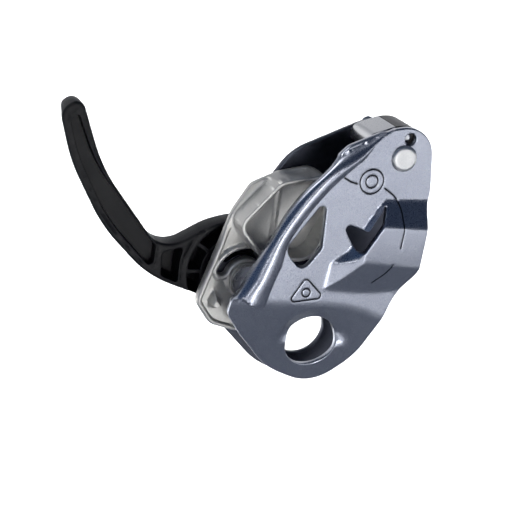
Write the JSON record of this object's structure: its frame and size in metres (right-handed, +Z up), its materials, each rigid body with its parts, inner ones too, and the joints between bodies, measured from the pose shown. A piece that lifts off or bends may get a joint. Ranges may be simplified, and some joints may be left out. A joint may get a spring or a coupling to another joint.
{
  "type": "belay device",
  "caption": "Assisted-braking belay device: two side plates, a pivoting cam in the rope channel, a release handle and a carabiner hole.",
  "frame": {"origin": "on the axis of the attachment hole, halfway between the two side plates", "axes": "+Z up as the device hangs loaded, +X to the right seen from the moving plate, +Y from the moving plate to the fixed plate and the handle"},
  "size_m": [0.1219, 0.0372, 0.1084],
  "materials": {
    "plate_front": "satin anodised blue-grey sheet",
    "plate_back": "dark satin anodised sheet",
    "rivet": "polished head",
    "washer": "thin friction washer",
    "spacer": "dark satin",
    "friction": "satin stainless",
    "pins": "satin",
    "detent": "satin",
    "springs": "spring wire",
    "cam": "bead-blasted investment-cast stainless steel",
    "bush": "bronze",
    "axle": "turned",
    "handle": "black glass-filled nylon",
    "cap": "black moulded cover"
  },
  "bodies": {
    "frame": {"fixed_side_plate": "plate_back", "pivot_rivet": "rivet", "pivot_washer": "washer", "pivot_spacer": "spacer", "friction_plate": "friction", "friction_plate_pins": "pins", "detent_plunger": "detent", "detent_spring": "springs", "cam_axle": "axle", "cam_washer": "washer", "handle_washer": "washer", "axle_retaining_ring": "springs"},
    "moving_plate": {"moving_side_plate": "plate_front"},
    "cam": {"cam": "cam", "cam_bush": "bush", "cam_return_spring": "springs"},
    "handle": {"handle": "handle", "handle_bush": "bush", "handle_drive_pin": "pins", "handle_return_spring": "springs", "handle_hub_cap": "cap"}
  },
  "joints": [
    {"name": "plate_swing", "type": "hinge", "parent": "frame", "child": "moving_plate", "pos_m": [0.0307, 0, 0.0653], "axis": [0, -1, 0], "range_deg": [0, 120]},
    {"name": "cam_pivot", "type": "hinge", "parent": "frame", "child": "cam", "pos_m": [-0.0215, 0, 0.0238], "axis": [0, -1, 0], "range_deg": [-24, 0], "stiffness_Nm_per_rad": 0.02},
    {"name": "handle_pivot", "type": "hinge", "parent": "frame", "child": "handle", "pos_m": [-0.0215, 0, 0.0238], "axis": [0, -1, 0], "range_deg": [-98, 84]}
  ]
}
